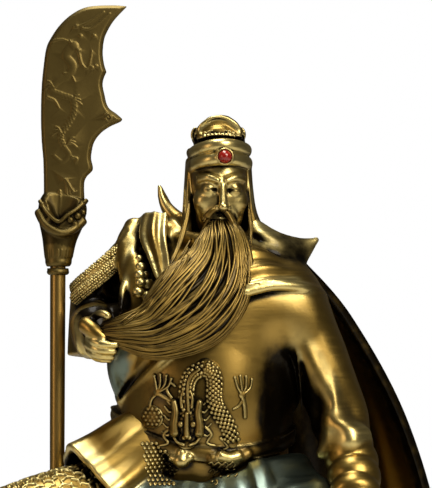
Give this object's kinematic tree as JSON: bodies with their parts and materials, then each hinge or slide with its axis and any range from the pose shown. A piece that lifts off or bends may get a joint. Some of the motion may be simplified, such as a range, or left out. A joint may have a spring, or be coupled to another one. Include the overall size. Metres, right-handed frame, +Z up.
{
  "type": "cast brass statue of a seated bearded general with a standing glaive",
  "caption": "Cast brass statue of a seated, bearded general in robe and armour, stroking his beard, with a standing glaive, on a low stepped plinth.",
  "frame": {"origin": "centre of the plinth's underside", "axes": "+Z up, -Y the way the figure faces, +X towards the figure's left hand"},
  "size_m": [0.336, 0.226, 0.4987],
  "materials": {
    "plinth_brass": "dark antique patina, satin",
    "figure_brass": "antique patina, rubbed bright on the high places",
    "bead_enamel": "gloss red enamel",
    "shaft_brass": "satin, lightly polished",
    "blade_brass": "olive antique patina with rubbed rims"
  },
  "bodies": {
    "root": {"plinth": "plinth_brass", "figure": "figure_brass", "forehead_bead": "bead_enamel", "guandao_shaft": "shaft_brass", "guandao_blade": "blade_brass"}
  },
  "joints": []
}
